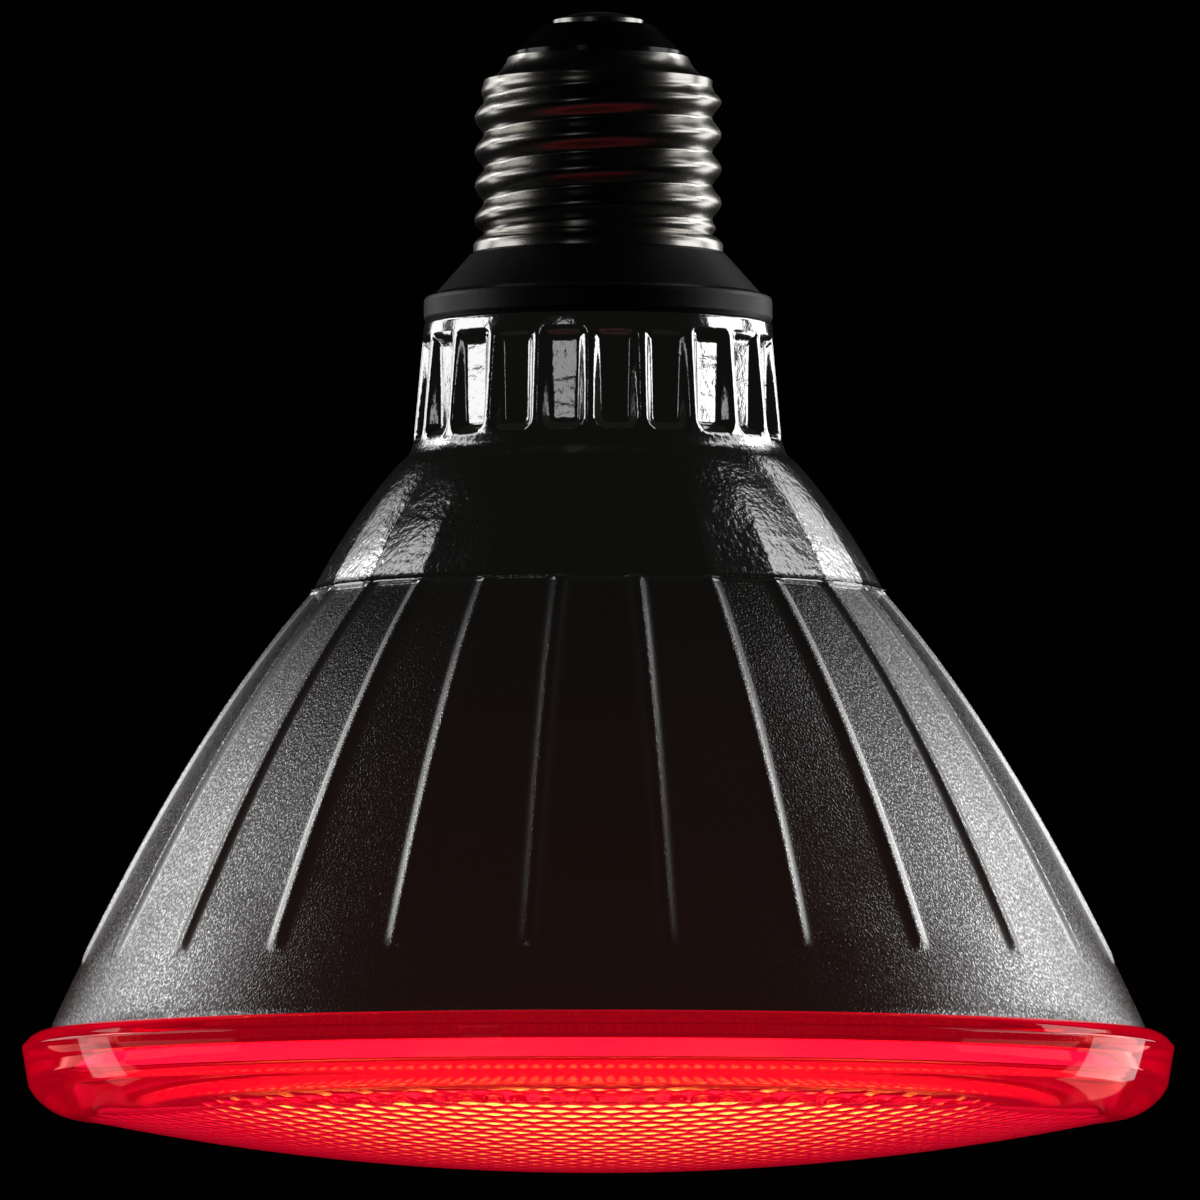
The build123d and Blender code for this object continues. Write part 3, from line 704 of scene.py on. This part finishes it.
clear_red, shader, place = start_finish("clear_red")
end_finish(
    shader,
    place,
    {
        "Base Color": (0.95, 0.24, 0.21, 1.0),
        "Roughness": 0.02 + 0.02 * noise(place, 90.0),
        "IOR": 1.49,
        "Transmission Weight": 1.0,
        # Painted glow: a faint red emission all over the lens, standing in for the LEDs' light seen through
        # it.
        "Emission Color": (1.0, 0.0, 0.03, 1.0),
        "Emission Strength": 0.12,
    },
)
lens = make_piece("red_front_lens", bm, clear_red)
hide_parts("front_lens")


# Studio: a pale floor well below the hanging lamp, soft boxes at both sides and a little behind it, a small
# card in front, and a dark room. The camera looks up slightly from in front.
floor_level, floor_radius = -3.4, 3.0
room_glow = 0.0004
floor_bm = bmesh.new()
bmesh.ops.create_circle(floor_bm, cap_ends=True, radius=floor_radius, segments=96)
bmesh.ops.translate(floor_bm, verts=floor_bm.verts, vec=(0.0, 0.0, floor_level))
floor_mesh = bpy.data.meshes.new("floor")
floor_bm.to_mesh(floor_mesh)
floor_bm.free()
floor_mesh.materials.append(plain_finish("pale_floor", (0.74, 0.74, 0.73), (0.78, 0.78, 0.77), 3.0, 0.7))
floor = bpy.data.objects.new("floor", floor_mesh)
bpy.context.scene.collection.objects.link(floor)

aim = Vector((0.0002, 0.0, -0.0368))


def soft_box(name, bearings, heights, glow):
    """A soft box between two bearings from the front and two angles above the lamp, in degrees."""
    distance = 0.9
    spread = radians(bearings[1] - bearings[0]) / 2
    bottom, top = (distance * tan(radians(angle)) for angle in heights)
    light = bpy.data.lights.new(name, "AREA")
    light.shape = "RECTANGLE"
    light.size = 2 * distance * tan(spread)
    light.size_y = top - bottom
    light.energy = glow * pi * light.size * light.size_y
    box = bpy.data.objects.new(name, light)
    bpy.context.scene.collection.objects.link(box)
    bearing = radians(bearings[0]) + spread
    side = Vector((sin(bearing), -cos(bearing), 0.0))
    box.location = side * distance + Vector((0.0, 0.0, aim.z + (bottom + top) / 2))
    box.rotation_euler = (-side).to_track_quat("-Z", "Y").to_euler()


soft_box("right_side", (78.0, 113.0), (3.0, 23.0), 1.6)
soft_box("right_side_high", (96.0, 113.0), (25.0, 50.0), 1.0)
soft_box("right_key", (114.0, 131.0), (23.0, 31.0), 4.6)
soft_box("right_back", (122.0, 147.0), (3.0, 23.0), 1.6)
soft_box("right_back_high", (131.0, 147.0), (25.0, 37.0), 1.0)
soft_box("right_low", (114.0, 138.0), (-22.0, 2.0), 1.6)
soft_box("left_side", (-113.0, -78.0), (3.0, 23.0), 1.2)
soft_box("left_side_high", (-113.0, -97.0), (25.0, 43.0), 0.9)
soft_box("left_key", (-131.0, -114.0), (23.0, 30.0), 3.8)
soft_box("left_back", (-146.0, -122.0), (3.0, 23.0), 1.2)
soft_box("left_back_high", (-145.0, -131.0), (25.0, 31.0), 0.7)
soft_box("left_low", (-124.0, -112.0), (-22.0, 2.0), 1.2)
soft_box("front_card", (-27.0, -19.0), (2.0, 14.0), 0.35)

world = bpy.data.worlds.new("dark_room")
world.use_nodes = True
world.node_tree.nodes["Background"].inputs["Color"].default_value = (room_glow, room_glow, room_glow, 1.0)
bpy.context.scene.world = world
bpy.context.scene.view_settings.view_transform = "Standard"

camera_tilt = radians(3.6)
camera_distance = 1.86
frame_width = 0.1273
lens_data = bpy.data.cameras.new("camera")
lens_data.sensor_width = 36.0
lens_data.lens = lens_data.sensor_width * camera_distance / frame_width
lens_data.clip_start = 0.05
lens_data.clip_end = 20.0
camera = bpy.data.objects.new("camera", lens_data)
bpy.context.scene.collection.objects.link(camera)
back = Vector((0.0, -cos(camera_tilt), -sin(camera_tilt)))
camera.location = aim + back * camera_distance
camera.rotation_euler = (-back).to_track_quat("-Z", "Y").to_euler()
bpy.context.scene.camera = camera
